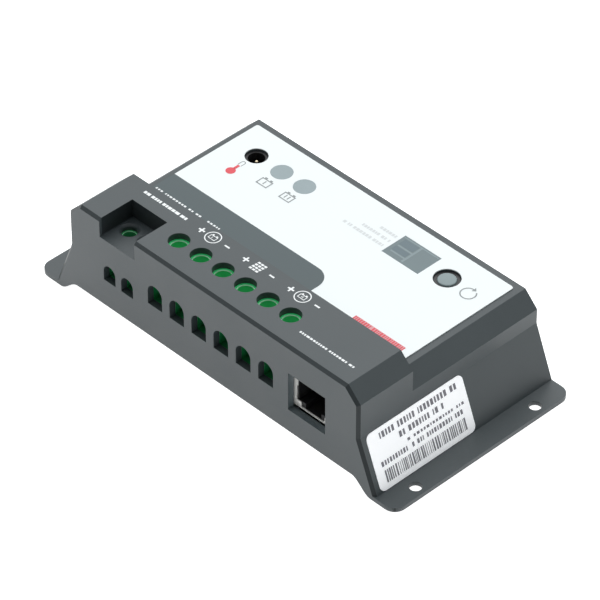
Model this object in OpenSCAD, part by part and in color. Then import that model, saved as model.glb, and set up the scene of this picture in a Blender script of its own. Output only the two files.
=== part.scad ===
// Dual-battery solar charge controller: moulded housing on two mounting flanges, rising-cage
// screw terminals behind the front face, control face on top. Units are millimetres, Z is up,
// X runs along the terminal face (at -Y), the origin is the centre of the footprint.

/* [Housing] */
// Overall length over both flanges
overall_len = 153; // [150:0.5:157]
// Depth from terminal face to rear wall
body_depth = 74; // [74:0.5:76]
// Height of the raised terminal section
block_top = 37; // [37:0.1:37.6]
// Height of the main housing top
deck_top = 29.5; // [29.5:0.1:30]
// Half width of both flat tops
top_half = 56.4; // [56:0.1:56.8]
// Half width of the upright part of the ends
side_half = 61.4; // [61.2:0.1:62]
// Half width where an end wall meets its flange
foot_half = 68.4; // [68:0.1:69]
// Height where an end wall starts to slope outwards
slope_top = 19.3; // [18:0.1:20]
// Width of the sloping edge between top and ends
chamfer = 5; // [4.6:0.1:5.2]
// Depth of the raised terminal section
block_depth = 22; // [21.8:0.1:23]
// Wall thickness of front, rear and ends
wall = 2.4; // [2.2:0.1:2.4]
// Wall thickness of the tops
roof = 2.2; // [2:0.1:2.2]
// Small bevel around the terminal face
face_bevel = 0.95; // [0.5:0.05:1.1]

/* [Mounting] */
// Flange thickness
flange_t = 1.5; // [1.2:0.1:2.5]
// Flange corner radius
flange_r = 4; // [2:0.5:5]
// Hole spacing along the length
hole_span_x = 146; // [145:0.1:147]
// Hole spacing across the depth
hole_span_y = 50; // [40:0.5:60]
// Radius of each mounting hole
hole_r = 2; // [1.6:0.1:2.3]
// Clear height of the air gap under the base plate
air_gap = 4.6; // [4.2:0.1:4.6]

/* [Main terminals] */
// Number of large poles
pole_count = 6; // [6:1:6]
// Distance between large poles
pole_pitch = 9.44; // [9.4:0.01:9.5]
// X of the first large pole
pole_x0 = -23.8; // [-24:0.1:-23.6]
// Y of the large screws
pole_y = -26.8; // [-27:0.1:-26.6]
// Width of a large wire opening
pole_arch_w = 6.2; // [5.8:0.1:6.2]
// Radius of a screwdriver hole in the housing
pole_hole_r = 3.4; // [3.2:0.05:3.5]
// Lift of a large cage from open to clamped
pole_lift = 3.9; // [3:0.1:3.9]

/* [Auxiliary terminals] */
// Number of small poles
aux_count = 2; // [2:1:2]
// Distance between small poles
aux_pitch = 7.7; // [7.6:0.05:7.8]
// X of the first small pole
aux_x0 = -43.8; // [-44:0.1:-43.6]
// Y of the small screws
aux_y = -28.5; // [-28.7:0.1:-28.3]
// Width of a small wire opening
aux_arch_w = 5.2; // [4.8:0.1:5.2]
// Radius of a small screwdriver hole
aux_hole_r = 2.5; // [2.45:0.05:2.6]
// Lift of a small cage from open to clamped
aux_lift = 2.5; // [2:0.1:2.5]

/* [Control face] */
// Y of the row of controls
row_y = 23.6; // [23.4:0.1:23.8]
// X of the temperature sensor socket
socket_x = -43.5; // [-43.7:0.1:-43.3]
// Radius of the socket opening
socket_hole_r = 3.7; // [3.7:0.05:3.8]
// X of the first status window
lamp_x1 = -32.4; // [-32.6:0.1:-32.2]
// X of the second status window
lamp_x2 = -22.6; // [-22.8:0.1:-22.4]
// Radius of each status window
lamp_r = 3.55; // [3.4:0.05:3.6]
// X of the push button
button_x = 37.4; // [37.2:0.1:37.6]
// Radius of the push button cap
button_r = 3; // [2.9:0.05:3]
// Radius of the button opening
button_hole_r = 4.3; // [4.3:0.05:4.4]
// Thickness of the printed film
film_t = 0.3; // [0.2:0.05:0.3]

/* [Display window] */
// Left edge of the display window
window_x = 15; // [14.9:0.1:15]
// Front edge of the display window
window_y = 18.7; // [18.6:0.1:18.8]
// Length of the display window
window_w = 15; // [15:0.1:15.2]
// Depth of the display window
window_d = 10.2; // [10.2:0.1:10.4]

/* [Circuit board] */
// Top of the main circuit board
pcb_top = 13.5; // [13.5:0.1:13.5]
// Thickness of the main circuit board
pcb_t = 1.6; // [1.5:0.1:1.7]

/* [Hidden] */
$fn = 48;

// Colours
dark_grey = [0.27, 0.285, 0.29];
near_black = [0.03, 0.03, 0.03];
film_white = [0.93, 0.95, 0.95];
window_grey = [0.5, 0.55, 0.56];
board_green = [0.03, 0.25, 0.12];
block_green = [0.05, 0.42, 0.18];
bare_metal = [0.78, 0.78, 0.76];
tin = [0.72, 0.73, 0.74];
gold = [0.83, 0.66, 0.28];

// Housing outline
front_y = -body_depth / 2;
rear_y = body_depth / 2;
step_y = front_y + block_depth;
film_top = deck_top + film_t;
slope_run = foot_half - side_half;
slope_drop = slope_top - flange_t;
slope_angle = atan2(slope_drop, slope_run);
inner_half = side_half - wall;
inner_foot = foot_half - wall + flange_t * slope_run / slope_drop;
arch_edge = inner_half - 0.3;
big = 200;

// Base plate and its fixings
plate_z = air_gap + 0.2;
plate_t = 1.5;
plate_top = plate_z + plate_t;
post_x = 56.3;
post_y = 29;
post_r = 3;
screw_r = 1.4;
pilot_r = 1.45;
spigot_r = 1.2;

// Boards
pcb_z = pcb_top - pcb_t;
pcb_half_x = 52.5;
pcb_half_y = 34;
standoff_x = 49;
standoff_front = -9;
standoff_rear = 30.5;
daughter_z = 20;
daughter_t = 1.2;
daughter_top = daughter_z + daughter_t;
spacer_x1 = -43;
spacer_x2 = 43;
spacer_y1 = 16;
spacer_y2 = 31;

// Large pole
pole_end_x = pole_x0 + (pole_count - 1) * pole_pitch;
block_x0 = pole_x0 - pole_pitch / 2;
block_x1 = pole_end_x + pole_pitch / 2;
block_y0 = front_y + wall + 0.1;
block_y1 = step_y - roof - 0.4;
block_z1 = block_top - roof - 0.1;
well_r = 3;
chamber_half = 3.65;
chamber_y0 = pole_y - 3.8;
chamber_y1 = pole_y + 7.5;
cage_half = 3.35;
cage_gap = 2.75;
cage_len = 6.4;
cage_floor_z = 15.6;
cage_floor_t = 0.9;
cage_roof_z = 23.6;
cage_roof_t = 1.2;
bar_z = 22.4;
bar_t = 0.9;
bar_half = 2.4;
ledge_z = cage_roof_z + cage_roof_t + pole_lift + 0.2;
head_z = ledge_z + 0.85;
head_t = 1.55;
head_r = 2.5;
shank_r = 1.5;
wire_z = 17.1;
wire_arch_z = 21.9;

// Small pole
aux_end_x = aux_x0 + (aux_count - 1) * aux_pitch;
aux_z1 = 28;
aux_well_r = 2.4;
aux_chamber_half = 3.1;
aux_cage_half = 2.8;
aux_cage_gap = 2.2;
aux_cage_len = 5.6;
aux_floor_z = pcb_top + 0.2;
aux_floor_t = 0.7;
aux_roof_z = 19.9;
aux_roof_t = 1;
aux_bar_z = 18.9;
aux_bar_t = 0.7;
aux_bar_half = 1.9;
aux_ledge_z = aux_roof_z + aux_roof_t + aux_lift + 0.2;
aux_head_z = aux_ledge_z + 0.75;
aux_head_t = 1.15;
aux_head_r = 2;
aux_shank_r = 1;
aux_wire_z = 14.5;
aux_arch_z = 18.1;

// Pocket over the small screws
aux_lead_in = 0.7;
pocket_x0 = -47.6;
pocket_x1 = -32.3;
pocket_y1 = -23.6;
pocket_z = 30.2;

// Data jack
jack_x = 40.35;
jack_win_x0 = 32.7;
jack_win_x1 = 48;
jack_win_z0 = 12.9;
jack_win_z1 = 26.8;
jack_half = 7.9;
jack_y0 = front_y + wall + 0.2;
jack_len = 20;
jack_h = 13.3;
jack_mouth_half = 6.1;
jack_mouth_z0 = 16;
jack_mouth_z1 = 24.6;
sheet = 0.3;

// Power transistors under the board
fet_count = 6;
fet_pitch = 15.4;
fet_x0 = -38.5;
fet_y = 2;
pad_t = 0.6;
capacitor_y = -9;

// Solid with the given XZ outline between two Y values
module along_y(y0, y1) {
    translate([0, y1, 0])
        rotate([90, 0, 0])
            linear_extrude(height = y1 - y0)
                children();
}

module box(lo, hi) {
    translate(lo)
        cube(hi - lo);
}

module rod(x, y, z0, z1, r) {
    translate([x, y, z0])
        cylinder(h = z1 - z0, r = r);
}

module rounded_sheet(x0, y0, x1, y1, r) {
    translate([x0 + r, y0])
        square([x1 - x0 - 2 * r, y1 - y0]);
    translate([x0, y0 + r])
        square([x1 - x0, y1 - y0 - 2 * r]);
    for (x = [x0 + r, x1 - r], y = [y0 + r, y1 - r])
        translate([x, y])
            circle(r = r);
}

// Arched opening: flat floor, round top
module arch(x, w, z0, z_round) {
    translate([x - w / 2, z0])
        square([w, z_round - z0]);
    translate([x, z_round])
        circle(r = w / 2);
}

module body_outline(top) {
    polygon([
        [-foot_half, 0], [-foot_half, flange_t], [-side_half, slope_top],
        [-side_half, top - chamfer], [-top_half, top], [top_half, top],
        [side_half, top - chamfer], [side_half, slope_top], [foot_half, flange_t], [foot_half, 0]
    ]);
}

module cavity_outline(top) {
    ceiling = top - roof;
    slant = top_half + top - roof * sqrt(2);
    polygon([
        [-inner_foot, -1], [-inner_foot, 0], [-inner_half, slope_top],
        [-inner_half, slant - inner_half], [ceiling - slant, ceiling], [slant - ceiling, ceiling],
        [inner_half, slant - inner_half], [inner_half, slope_top], [inner_foot, 0], [inner_foot, -1]
    ]);
}

// Space between the two feet, with smooth S-shaped ends
module tunnel_outline() {
    steps = 12;
    run = inner_foot - arch_edge;
    right = [for (i = [0:steps]) [arch_edge + run * i / steps, air_gap * (1 + cos(180 * i / steps)) / 2]];
    left = [for (i = [0:steps]) [-arch_edge - run * (steps - i) / steps,
        air_gap * (1 - cos(180 * i / steps)) / 2]];
    polygon(concat([[-inner_foot, -1]], left, right, [[inner_foot, -1]]));
}

// Bevel cutter for the terminal face's edge through an XZ point, rising at an angle from X
module edge_cut(x, z, rise) {
    reach = 80;
    translate([x, front_y, z])
        rotate([0, -rise, 0])
            rotate([45, 0, 0])
                translate([-reach, -face_bevel - 1, -face_bevel / sqrt(2)])
                    cube([2 * reach, 2 * face_bevel + 2, 3]);
}

// Terminal section between its upright ends, bevelled round the terminal face
module block_body() {
    difference() {
        along_y(front_y, step_y)
            polygon([
                [-side_half, 0], [-side_half, block_top - chamfer], [-top_half, block_top],
                [top_half, block_top], [side_half, block_top - chamfer], [side_half, 0]
            ]);
        edge_cut(0, block_top, 0);
        for (s = [-1, 1]) {
            edge_cut(s * side_half, block_top - chamfer, -s * atan2(chamfer, side_half - top_half));
            edge_cut(s * side_half, block_top / 2, -s * 90);
        }
    }
}

// Flared foot of the terminal section, bevelled the same way
module foot_body() {
    difference() {
        along_y(front_y, step_y)
            polygon([
                [-foot_half, 0], [-foot_half, flange_t], [-side_half, slope_top],
                [side_half, slope_top], [foot_half, flange_t], [foot_half, 0]
            ]);
        for (s = [-1, 1])
            edge_cut(s * side_half, slope_top, -s * atan2(slope_drop, slope_run));
    }
}

module top_shell() {
    color(dark_grey)
    difference() {
        union() {
            linear_extrude(height = flange_t)
                rounded_sheet(-overall_len / 2, front_y, overall_len / 2, rear_y, flange_r);
            along_y(step_y - 1, rear_y)
                body_outline(deck_top);
            block_body();
            foot_body();
        }
        difference() {
            union() {
                along_y(front_y + wall, rear_y - wall)
                    cavity_outline(deck_top);
                along_y(front_y + wall, step_y - roof)
                    cavity_outline(block_top);
            }
            for (x = [-post_x, post_x], y = [-post_y, post_y])
                rod(x, y, plate_top + 0.05, block_top - 1, post_r);
            box([pocket_x0 - roof, front_y, pocket_z - 2], [pocket_x1 + 1.8, pocket_y1 + 1.8, block_top]);
        }
        along_y(front_y - 1, rear_y + 1)
            tunnel_outline();
        for (x = [-post_x, post_x], y = [-post_y, post_y])
            rod(x, y, plate_top, 16, pilot_r);
        box([pocket_x0, front_y - 1, pocket_z], [pocket_x1, pocket_y1, block_top + 1]);
        for (x = [-1, 1], y = [-1, 1])
            rod(x * hole_span_x / 2, y * hole_span_y / 2, -1, flange_t + 1, hole_r);
        for (i = [0:pole_count - 1]) {
            along_y(front_y - 1, front_y + wall + 1)
                arch(pole_x0 + i * pole_pitch, pole_arch_w, wire_z, wire_arch_z);
            rod(pole_x0 + i * pole_pitch, pole_y, block_top - roof - 1, block_top + 1, pole_hole_r);
        }
        for (i = [0:aux_count - 1]) {
            along_y(front_y - 1, front_y + wall + 1)
                arch(aux_x0 + i * aux_pitch, aux_arch_w, aux_wire_z, aux_arch_z);
            rod(aux_x0 + i * aux_pitch, aux_y, pocket_z - 3, pocket_z + 1, aux_hole_r);
            translate([aux_x0 + i * aux_pitch, aux_y, pocket_z - aux_lead_in])
                cylinder(h = aux_lead_in, r1 = aux_hole_r, r2 = aux_hole_r + aux_lead_in);
        }
        box([jack_win_x0, front_y - 1, jack_win_z0], [jack_win_x1, front_y + wall + 1, jack_win_z1]);
        rod(socket_x, row_y, deck_top - roof - 1, deck_top + 1, socket_hole_r);
        for (x = [lamp_x1, lamp_x2])
            rod(x, row_y, deck_top - roof - 1, deck_top + 1, lamp_r);
        rod(button_x, row_y, deck_top - roof - 1, deck_top + 1, button_hole_r);
        box([window_x, window_y, deck_top - roof - 1],
            [window_x + window_w, window_y + window_d, deck_top + 1]);
    }
}

module base_plate() {
    plate_half = inner_foot - plate_top * slope_run / slope_drop - 0.6;
    color(bare_metal)
    difference() {
        box([-plate_half, front_y + wall + 0.2, plate_z], [plate_half, rear_y - wall - 0.2, plate_top]);
        for (x = [-post_x, post_x], y = [-post_y, post_y]) {
            rod(x, y, plate_z - 1, plate_top + 1, screw_r + 0.2);
            translate([x, y, plate_z])
                cylinder(h = 1.4, r1 = 2.95, r2 = screw_r + 0.15);
        }
        for (x = [-standoff_x, standoff_x], y = [standoff_front, standoff_rear])
            rod(x, y, plate_z - 1, plate_top + 1, spigot_r + 0.02);
    }
}

// Cross recess sunk into the top of a head at height z
module cross_recess(x, y, z, depth, len) {
    for (a = [0, 90])
        translate([x, y, z - depth])
            rotate([0, 0, a])
                translate([-len / 2, -len / 9, 0])
                    cube([len, len / 4.5, depth + 1]);
}

// Countersunk screws entering from below, flush with the plate
module base_screws() {
    color(tin)
    for (x = [-post_x, post_x], y = [-post_y, post_y])
        difference() {
            union() {
                translate([x, y, plate_z])
                    cylinder(h = 1.4, r1 = 2.8, r2 = screw_r);
                rod(x, y, plate_z + 1.4, 14, screw_r);
            }
            mirror([0, 0, 1])
                cross_recess(x, y, -plate_z, 0.9, 3);
        }
}

module film_cutouts() {
    translate([socket_x, row_y])
        circle(r = socket_hole_r);
    for (x = [lamp_x1, lamp_x2])
        translate([x, row_y])
            circle(r = lamp_r);
    translate([button_x, row_y])
        circle(r = button_hole_r);
    translate([window_x, window_y])
        square([window_w, window_d]);
}

module faceplate_film() {
    color(film_white)
    translate([0, 0, deck_top])
        linear_extrude(height = film_t)
            difference() {
                rounded_sheet(-54.5, step_y + 0.05, 54, rear_y - 2.4, 0.8);
                film_cutouts();
            }
}

module lamp_window(x) {
    color(window_grey)
    rod(x, row_y, film_top - 1.5, film_top, lamp_r - 0.05);
}

module display_window() {
    color(window_grey)
    box([window_x + 0.05, window_y + 0.05, film_top - 1.5],
        [window_x + window_w - 0.05, window_y + window_d - 0.05, film_top]);
}

// Data sticker on the sloping face of the right-hand end
module rating_label() {
    slope_len = norm([slope_run, slope_drop]);
    color(film_white)
    translate([foot_half, 0, flange_t])
        rotate([0, -90 - (90 - slope_angle), 0])
            rotate([0, 0, 180])
                mirror([0, 0, 1])
                    linear_extrude(height = 0.15)
                        rounded_sheet(-slope_len + 0.1, -4.9, -0.2, 34.3, 2);
}

module main_pcb() {
    color(board_green)
    difference() {
        box([-pcb_half_x, -pcb_half_y, pcb_z], [pcb_half_x, pcb_half_y, pcb_top]);
        box([jack_win_x0 - 0.5, -pcb_half_y - 1, pcb_z - 1], [jack_win_x1 + 0.5, jack_y0 + 3, pcb_top + 1]);
        for (x = [-standoff_x, standoff_x], y = [standoff_front, standoff_rear])
            rod(x, y, pcb_z - 1, pcb_top + 1, 1.4);
        for (x = [spacer_x1, spacer_x2], y = [spacer_y1, spacer_y2])
            rod(x, y, pcb_z - 1, pcb_top + 1, 1.3);
        for (i = [0:pole_count - 1])
            translate([pole_x0 + i * pole_pitch, 0, 0])
                box([-1.7, chamber_y1 - 1.3, pcb_z - 1], [1.7, chamber_y1 - 0.1, pcb_top + 1]);
        for (i = [0:aux_count - 1])
            translate([aux_x0 + i * aux_pitch, aux_y, 0])
                box([-1.2, 3.8, pcb_z - 1], [1.2, 4.8, pcb_top + 1]);
        for (i = [0:fet_count - 1], k = [-1:1])
            translate([fet_x0 + i * fet_pitch + k * 2.54, fet_y - 4.2, 0])
                box([-0.6, -0.45, pcb_z - 1], [0.6, 0.45, pcb_top + 1]);
        for (i = [0:7])
            rod(jack_x - 4.445 + i * 1.27, jack_y0 + 15.5 + 2.54 * (i % 2), pcb_z - 1, pcb_top + 1, 0.45);
        for (i = [0:9])
            rod(-8 + i * 2.54, 31, pcb_z - 1, pcb_top + 1, 0.5);
    }
}

// Hexagonal standoffs, each with a spigot pressed into the base plate
module pcb_standoffs() {
    color(gold)
    for (x = [-standoff_x, standoff_x], y = [standoff_front, standoff_rear])
        difference() {
            union() {
                translate([x, y, plate_top])
                    cylinder(h = pcb_z - plate_top, r = 2.9, $fn = 6);
                rod(x, y, plate_z + 0.1, plate_top, spigot_r);
            }
            rod(x, y, plate_top + 1, pcb_z + 1, 1.35);
        }
}

module pcb_screws() {
    color(tin)
    for (x = [-standoff_x, standoff_x], y = [standoff_front, standoff_rear])
        difference() {
            union() {
                rod(x, y, pcb_top, pcb_top + 1.7, 2.6);
                rod(x, y, plate_top + 2, pcb_top, 1.3);
            }
            cross_recess(x, y, pcb_top + 1.7, 1, 3);
        }
}

module display_pcb() {
    color(board_green)
    difference() {
        box([-51, 13.2, daughter_z], [48, 33.6, daughter_top]);
        for (x = [spacer_x1, spacer_x2], y = [spacer_y1, spacer_y2])
            rod(x, y, daughter_z - 1, daughter_top + 1, 1.3);
        for (i = [0:9])
            rod(-8 + i * 2.54, 31, daughter_z - 1, daughter_top + 1, 0.5);
    }
}

module display_spacers() {
    color(film_white)
    for (x = [spacer_x1, spacer_x2], y = [spacer_y1, spacer_y2])
        difference() {
            rod(x, y, pcb_top, daughter_z, 2.3);
            rod(x, y, pcb_top - 1, daughter_z + 1, 1.3);
        }
}

// Each screw passes through both boards and takes a nut under the main board
module display_screws() {
    color(tin)
    for (x = [spacer_x1, spacer_x2], y = [spacer_y1, spacer_y2])
        difference() {
            union() {
                rod(x, y, daughter_top, daughter_top + 1.5, 2.2);
                rod(x, y, pcb_z - 2.6, daughter_top, 1.2);
                translate([x, y, pcb_z - 2])
                    cylinder(h = 2, r = 2.6, $fn = 6);
            }
            cross_recess(x, y, daughter_top + 1.5, 0.9, 2.6);
        }
}

module header_block() {
    color(near_black)
    difference() {
        box([-9.3, 29.7, pcb_top], [16.2, 32.3, daughter_z]);
        for (i = [0:9])
            rod(-8 + i * 2.54, 31, pcb_top - 1, daughter_z + 1, 0.4);
    }
}

module header_pins() {
    color(gold)
    for (i = [0:9])
        rod(-8 + i * 2.54, 31, pcb_z - 1.2, daughter_top + 0.8, 0.35);
}

module lamp_led(x) {
    color([0.75, 0.9, 0.75])
    union() {
        rod(x, row_y, daughter_top, daughter_top + 1, 1.9);
        rod(x, row_y, daughter_top, daughter_top + 4, 1.5);
        translate([x, row_y, daughter_top + 4])
            sphere(r = 1.5);
    }
}

module digit_display() {
    color(near_black)
    difference() {
        box([22.9, 18.95, daughter_top], [29.8, 28.65, 28]);
        digit_cuts(0.4);
    }
}

// Seven-segment figure recessed in the display face
module digit_cuts(depth) {
    for (y = [20.9, 23.8, 26.7])
        box([24.9, y - 0.35, 28 - depth], [27.8, y + 0.35, 29]);
    for (x = [24.4, 28.3], y = [22.35, 25.25])
        box([x - 0.35, y - 1.05, 28 - depth], [x + 0.35, y + 1.05, 29]);
}

module digit_segments() {
    color([0.8, 0.8, 0.78])
    intersection() {
        digit_cuts(0.4);
        box([22, 18, 27], [31, 30, 27.9]);
    }
}

// Three-bar level indicator with its cover bars
module level_bars() {
    color([0.62, 0.66, 0.66])
    union() {
        box([15.3, 18.95, daughter_top], [22.2, 28.65, 25.5]);
        for (y = [19.3, 22.35, 25.4])
            box([15.7, y, 25.5], [21.8, y + 2.7, 27.9]);
    }
}

module button_switch() {
    color(near_black)
    difference() {
        box([button_x - 3, row_y - 3, daughter_top], [button_x + 3, row_y + 3, daughter_top + 3.5]);
        rod(button_x, row_y, daughter_top + 2, daughter_top + 4, 1.8);
    }
}

module button_plunger() {
    color(bare_metal)
    rod(button_x, row_y, daughter_top + 2.7, daughter_top + 4.8, 1.75);
}

module button_cap() {
    cap_z = daughter_top + 4.8;
    color(window_grey)
    union() {
        rod(button_x, row_y, cap_z, deck_top, button_r);
        rod(button_x, row_y, cap_z, cap_z + 0.8, button_r + 1);
    }
}

// Guide ring clipped into the button opening
module button_collar() {
    color(near_black)
    difference() {
        rod(button_x, row_y, deck_top - roof, deck_top - 0.5, button_hole_r - 0.05);
        rod(button_x, row_y, deck_top - roof - 1, deck_top, button_r + 0.06);
    }
}

module socket_body() {
    color(near_black)
    difference() {
        union() {
            box([socket_x - 4.2, row_y - 4.2, daughter_top], [socket_x + 4.2, row_y + 4.2, daughter_top + 4]);
            rod(socket_x, row_y, daughter_top + 4, deck_top - 0.6, socket_hole_r - 0.1);
        }
        rod(socket_x, row_y, daughter_top + 2, deck_top + 1, 2.75);
        rod(socket_x, row_y, daughter_top + 1, deck_top, 0.62);
    }
}

module socket_pin() {
    color([0.85, 0.75, 0.55])
    union() {
        rod(socket_x, row_y, daughter_top + 1, 27.4, 0.6);
        translate([socket_x, row_y, 27.4])
            sphere(r = 0.6);
    }
}

// Moulded six-pole block: wire funnel, cage chamber, screw ledge and well for each pole
module terminal_block() {
    color(block_green)
    difference() {
        box([block_x0, block_y0, pcb_top], [block_x1, block_y1, block_z1]);
        for (i = [0:pole_count - 1])
            translate([pole_x0 + i * pole_pitch, 0, 0]) {
                along_y(block_y0 - 1, chamber_y0 + 1)
                    arch(0, pole_arch_w, wire_z, wire_arch_z);
                box([-chamber_half, chamber_y0, cage_floor_z - 0.3], [chamber_half, chamber_y1, ledge_z]);
                rod(0, pole_y, ledge_z - 1, head_z, shank_r + 0.1);
                rod(0, pole_y, head_z - 0.05, block_z1 + 1, well_r);
                box([-1.6, chamber_y1 - 1.2, pcb_top - 1], [1.6, chamber_y1 - 0.2, cage_floor_z]);
            }
    }
}

// Fixed contact bar over each wire, with a leg down through the board
module terminal_contacts() {
    color(tin)
    for (i = [0:pole_count - 1])
        translate([pole_x0 + i * pole_pitch, 0, 0]) {
            box([-bar_half, pole_y - 3.4, bar_z], [bar_half, chamber_y1 - 0.25, bar_z + bar_t]);
            box([-1.5, chamber_y1 - 1.15, pcb_z - 1.4], [1.5, chamber_y1 - 0.25, bar_z + bar_t / 2]);
        }
}

module clamp_screw(x, y, tip_z, top_z, r, head_radius, head_h) {
    color(bare_metal)
    difference() {
        union() {
            rod(x, y, tip_z, top_z, r);
            rod(x, y, top_z, top_z + head_h, head_radius);
        }
        cross_recess(x, y, top_z + head_h, head_h * 0.65, head_radius * 1.5);
    }
}

module clamp_cage(x, y, half, gap, len, floor_z, floor_h, roof_z, roof_h, r) {
    color(tin)
    difference() {
        box([x - half, y - len / 2, floor_z], [x + half, y + len / 2, roof_z + roof_h]);
        box([x - gap, y - len, floor_z + floor_h], [x + gap, y + len, roof_z]);
        rod(x, y, roof_z - 1, roof_z + roof_h + 1, r + 0.05);
    }
}

module terminal_screw(i) {
    clamp_screw(pole_x0 + (i - 1) * pole_pitch, pole_y, bar_z + bar_t + 0.1, head_z, shank_r, head_r, head_t);
}

module terminal_cage(i) {
    clamp_cage(pole_x0 + (i - 1) * pole_pitch, pole_y, cage_half, cage_gap, cage_len,
        cage_floor_z, cage_floor_t, cage_roof_z, cage_roof_t, shank_r);
}

module aux_block() {
    color(block_green)
    difference() {
        box([aux_x0 - aux_pitch / 2 - 0.2, block_y0, pcb_top], [aux_end_x + aux_pitch / 2 + 0.2, aux_y + 6, aux_z1]);
        for (i = [0:aux_count - 1])
            translate([aux_x0 + i * aux_pitch, aux_y, 0]) {
                along_y(block_y0 - aux_y - 1, -2.9)
                    arch(0, aux_arch_w, aux_wire_z, aux_arch_z);
                box([-aux_chamber_half, -3.3, pcb_top - 1], [aux_chamber_half, 4.9, aux_ledge_z]);
                rod(0, 0, aux_ledge_z - 1, aux_head_z, aux_shank_r + 0.1);
                rod(0, 0, aux_head_z - 0.05, aux_z1 + 1, aux_well_r);
            }
    }
}

module aux_contacts() {
    color(tin)
    for (i = [0:aux_count - 1])
        translate([aux_x0 + i * aux_pitch, aux_y, 0]) {
            box([-aux_bar_half, -3, aux_bar_z], [aux_bar_half, 4.7, aux_bar_z + aux_bar_t]);
            box([-1.1, 3.95, pcb_z - 1.4], [1.1, 4.7, aux_bar_z + aux_bar_t / 2]);
        }
}

module aux_screw(i) {
    clamp_screw(aux_x0 + (i - 1) * aux_pitch, aux_y, aux_bar_z + aux_bar_t + 0.1, aux_head_z,
        aux_shank_r, aux_head_r, aux_head_t);
}

module aux_cage(i) {
    clamp_cage(aux_x0 + (i - 1) * aux_pitch, aux_y, aux_cage_half, aux_cage_gap, aux_cage_len,
        aux_floor_z, aux_floor_t, aux_roof_z, aux_roof_t, aux_shank_r);
}

// Folded metal can around the data jack, open below, with spring tabs in the mouth
module jack_shield() {
    top = pcb_top + jack_h;
    color(tin)
    union() {
        difference() {
            box([jack_x - jack_half, jack_y0, pcb_top], [jack_x + jack_half, jack_y0 + jack_len, top]);
            box([jack_x - jack_half + sheet, jack_y0 + sheet, pcb_top - 1],
                [jack_x + jack_half - sheet, jack_y0 + jack_len - sheet, top - sheet]);
            box([jack_x - 6.6, jack_y0 - 1, pcb_top + 0.6], [jack_x + 6.6, jack_y0 + 1, 25.2]);
        }
        for (x = [-5.7, 5.7])
            box([jack_x + x - 0.9, jack_y0, 14.1], [jack_x + x + 0.9, jack_y0 + 0.28, 15.9]);
        box([jack_x - 6.6, jack_y0, 21.4], [jack_x - 6.15, jack_y0 + 0.28, 25.2]);
    }
}

// Plastic inner body: plug mouth, latch channel below it, comb for the contacts above it
module jack_insert() {
    top = pcb_top + jack_h - sheet - 0.05;
    color(near_black)
    difference() {
        box([jack_x - jack_half + sheet + 0.05, jack_y0 + sheet + 0.05, pcb_top],
            [jack_x + jack_half - sheet - 0.05, jack_y0 + jack_len - sheet - 0.05, top]);
        box([jack_x - jack_mouth_half, jack_y0 - 1, jack_mouth_z0],
            [jack_x + jack_mouth_half, jack_y0 + 13, jack_mouth_z1]);
        box([jack_x - 3.2, jack_y0 - 1, pcb_top + 0.6], [jack_x + 3.2, jack_y0 + 10, jack_mouth_z0 + 1]);
        box([jack_x - 5.2, jack_y0 + 12, pcb_top - 1], [jack_x + 5.2, jack_y0 + 19, jack_mouth_z1]);
    }
}

// Eight spring wires: upper run, tail down through the board
module jack_contacts() {
    color(gold)
    for (i = [0:7])
        translate([jack_x - 4.445 + i * 1.27, 0, 0]) {
            tail_y = jack_y0 + 15.5 + 2.54 * (i % 2);
            box([-0.25, jack_y0 + 3, 23.2], [0.25, tail_y + 0.25, 23.7]);
            box([-0.25, tail_y - 0.25, pcb_z - 1.2], [0.25, tail_y + 0.25, 23.4]);
        }
}

module capacitors() {
    color([0.12, 0.14, 0.2])
    for (x = [-39, -27, -15, 20])
        difference() {
            rod(x, capacitor_y, pcb_top, pcb_top + 12.5, 5);
            difference() {
                rod(x, capacitor_y, pcb_top + 1.6, pcb_top + 2.4, 6);
                rod(x, capacitor_y, pcb_top + 1.5, pcb_top + 2.5, 4.6);
            }
        }
}

module transistor_bodies() {
    color(near_black)
    for (i = [0:fet_count - 1])
        translate([fet_x0 + i * fet_pitch, fet_y, plate_top + pad_t])
            box([-5, 0, 1.32], [5, 9, 4.4]);
}

// Heat tab against the pad and three legs bent up through the board
module transistor_tabs() {
    z0 = plate_top + pad_t;
    color(tin)
    for (i = [0:fet_count - 1])
        translate([fet_x0 + i * fet_pitch, fet_y, 0]) {
            difference() {
                box([-5, 0, z0], [5, 15.4, z0 + 1.3]);
                rod(0, 12.6, z0 - 1, z0 + 2, 1.85);
            }
            for (k = [-1:1])
                translate([k * 2.54, 0, 0]) {
                    box([-0.4, -4.45, z0 + 2.5], [0.4, -0.02, z0 + 3]);
                    box([-0.4, -4.45, z0 + 2.5], [0.4, -3.95, pcb_top + 0.8]);
                }
        }
}

module thermal_pad() {
    color([0.55, 0.6, 0.65])
    box([fet_x0 - 6.5, fet_y - 0.8, plate_top], [fet_x0 + (fet_count - 1) * fet_pitch + 6.5,
        fet_y + 16, plate_top + pad_t]);
}

// Folded metal strips that carry the measured current
module current_shunts() {
    color([0.7, 0.5, 0.35])
    for (x = [-3, 33])
        translate([x, -9, pcb_top])
            difference() {
                box([-5, -1.5, 0], [5, 1.5, 4]);
                box([-4.2, -2, -1], [4.2, 2, 3.2]);
            }
}

module supply_inductor() {
    color([0.2, 0.2, 0.2])
    union() {
        box([31, 2, pcb_top], [38, 9, pcb_top + 1.2]);
        rod(34.5, 5.5, pcb_top + 1.2, pcb_top + 4, 3.3);
    }
}

module controller_chip() {
    color(near_black)
    union() {
        box([-4, 14, pcb_top + 0.2], [6, 24, pcb_top + 1.6]);
        for (x = [-34, -24, 18, 28])
            box([x, 16, pcb_top + 0.2], [x + 3.9, 20.9, pcb_top + 1.6]);
    }
}

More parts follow.
